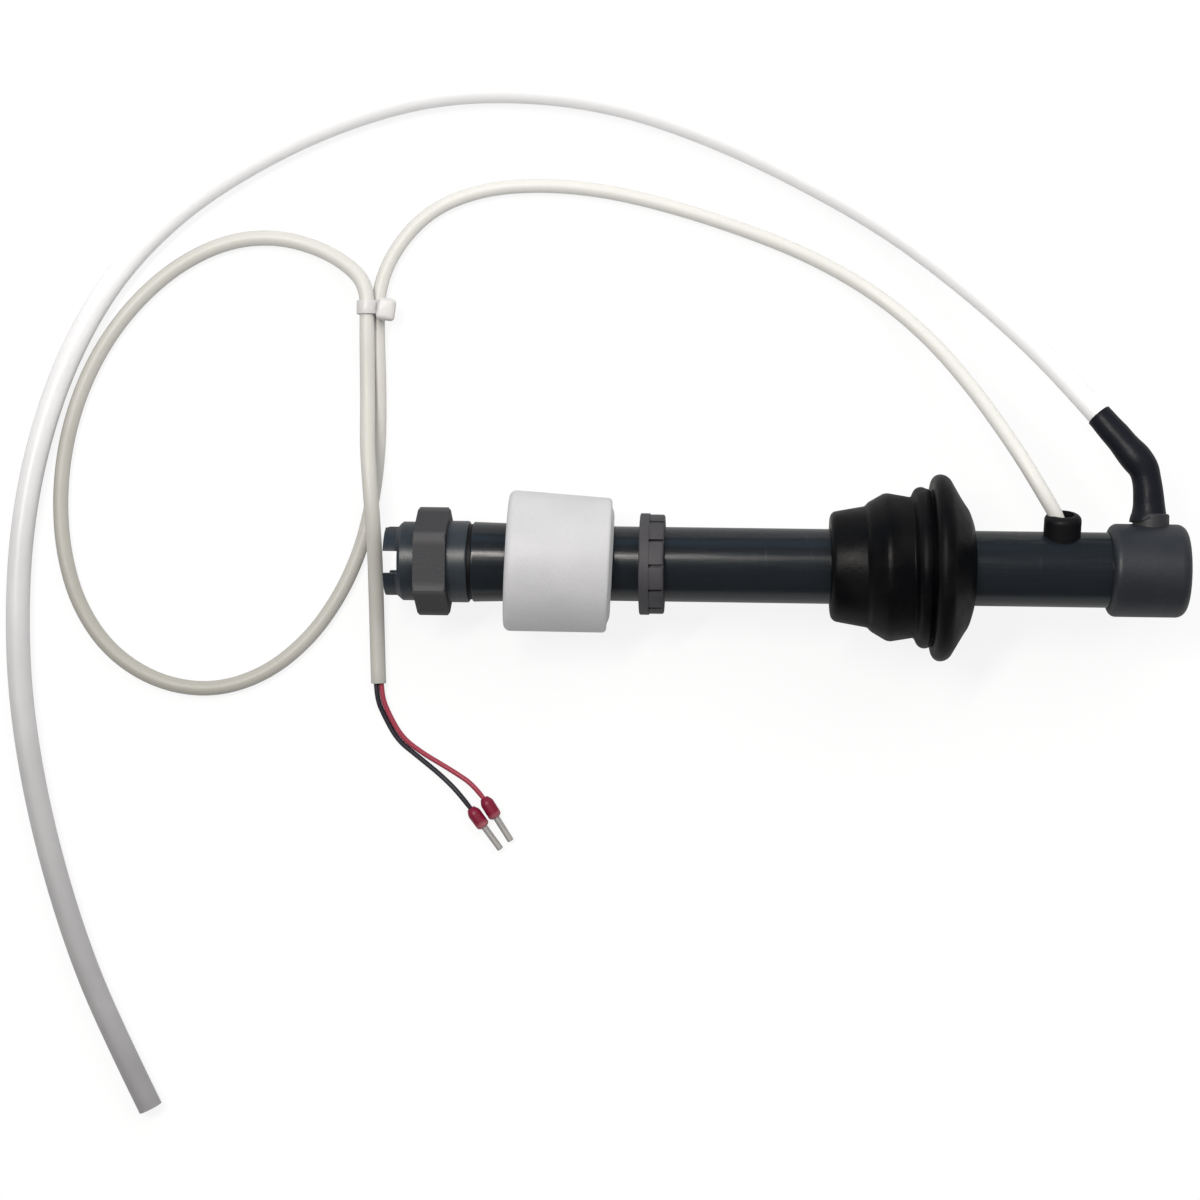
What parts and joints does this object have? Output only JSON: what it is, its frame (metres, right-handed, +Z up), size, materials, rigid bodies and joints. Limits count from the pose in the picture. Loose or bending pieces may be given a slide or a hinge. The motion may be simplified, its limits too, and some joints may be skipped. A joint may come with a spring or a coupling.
{
  "type": "level sensor",
  "caption": "Dosing suction lance: slotted foot valve, level float on a dark pipe, stop ring, sliding rubber bung, side hose and tied signal cable with ferrules.",
  "frame": {"origin": "On the floor under the centre of the lance's box, cords left out", "axes": "+X from the foot towards the end cap, +Z up; the lance's own axis rises 3 degrees towards the cap"},
  "size_m": [0.3185, 0.2841, 0.0497],
  "materials": {
    "foot_pvc": "dark grey turned plastic, satin",
    "nut_plastic": "dark grey moulded plastic, matt",
    "seal_rubber": "black rubber",
    "ball_plastic": "white polished ball",
    "tube_pvc": "dark blue-grey pipe with a dull shine",
    "float_plastic": "milky white moulded plastic",
    "magnet": "dark sintered magnet",
    "ring_plastic": "dark grey moulded plastic, matt",
    "bung_rubber": "black rubber, slightly shiny",
    "cap_pvc": "dark grey moulded plastic, satin",
    "hose_plastic": "milky translucent hose",
    "capsule_plastic": "grey plastic capsule",
    "potting_resin": "black resin",
    "reed_glass": "sealed switch glass",
    "lead_metal": "plated switch leads",
    "core_black": "black core insulation",
    "core_red": "red core insulation",
    "shrink_sleeve": "black shrink sleeve",
    "cable_sheath": "light warm grey sheath",
    "tie_plastic": "natural white plastic",
    "ferrule_plastic": "crimson plastic",
    "ferrule_metal": "tinned copper"
  },
  "bodies": {
    "lance": {"foot_strainer": "foot_pvc", "foot_nut": "nut_plastic", "foot_body": "foot_pvc", "foot_gasket": "seal_rubber", "valve_seat": "seal_rubber", "lance_tube": "tube_pvc", "stop_ring": "ring_plastic", "end_cap": "cap_pvc", "hose_elbow": "nut_plastic", "inner_hose": "hose_plastic", "cable_grommet": "seal_rubber", "reed_capsule": "capsule_plastic", "capsule_potting": "potting_resin", "reed_glass": "reed_glass", "reed_leads": "lead_metal", "inner_core_black": "core_black", "inner_core_red": "core_red", "suction_hose": "hose_plastic", "hose_sleeve": "shrink_sleeve", "signal_cable": "cable_sheath", "cable_tie": "tie_plastic", "wire_black": "core_black", "wire_red": "core_red", "ferrule_collar_black": "ferrule_plastic", "ferrule_collar_red": "ferrule_plastic", "ferrule_pin_black": "ferrule_metal", "ferrule_pin_red": "ferrule_metal"},
    "float": {"float_body": "float_plastic", "float_lid": "float_plastic", "float_magnet": "magnet"},
    "bung": {"rubber_bung": "bung_rubber"},
    "ball": {"valve_ball": "ball_plastic"}
  },
  "joints": [
    {"name": "float_slide", "type": "slide", "parent": "lance", "child": "float", "axis": [0.9986, 0, 0.0525], "range_m": [-0.015, 0.0064]},
    {"name": "bung_slide", "type": "slide", "parent": "lance", "child": "bung", "axis": [0.9986, 0, 0.0525], "range_m": [-0.0435, 0.017]},
    {"name": "ball_lift", "type": "slide", "parent": "lance", "child": "ball", "axis": [0.9986, 0, 0.0525], "range_m": [0, 0.0024]}
  ]
}
